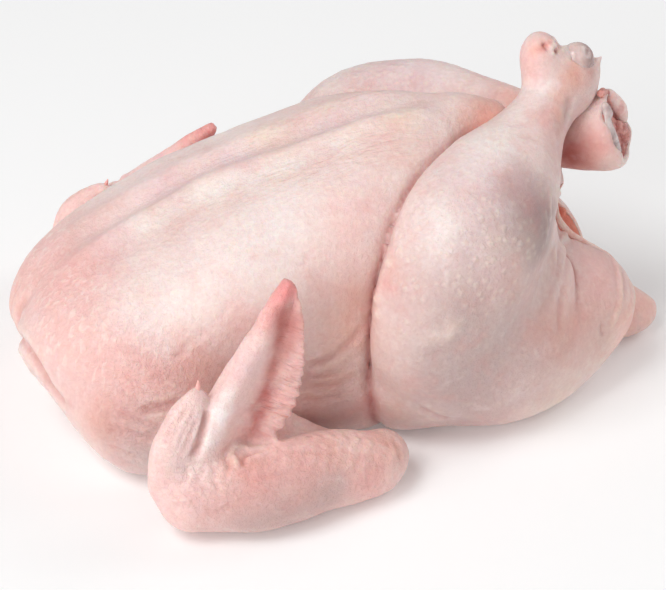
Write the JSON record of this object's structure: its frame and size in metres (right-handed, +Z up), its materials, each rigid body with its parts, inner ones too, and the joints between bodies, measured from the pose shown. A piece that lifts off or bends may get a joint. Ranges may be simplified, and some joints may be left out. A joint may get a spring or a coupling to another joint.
{
  "type": "whole raw chicken",
  "caption": "Plucked, drawn bird lying on its back: long furrowed breast, folded wings with raised tips, crossed shanks with bare joint ends, flat tail and open vent.",
  "frame": {"origin": "on the flat spot of the back that the bird rests on, under the middle of the breast", "axes": "+X from the neck end to the tail, +Z up out of the breast, -Y the bird's right side"},
  "size_m": [0.259, 0.215, 0.1356],
  "materials": {
    "raw_skin": "moist, softly glossy raw poultry skin"
  },
  "bodies": {
    "root": {"chicken": "raw_skin"}
  },
  "joints": []
}
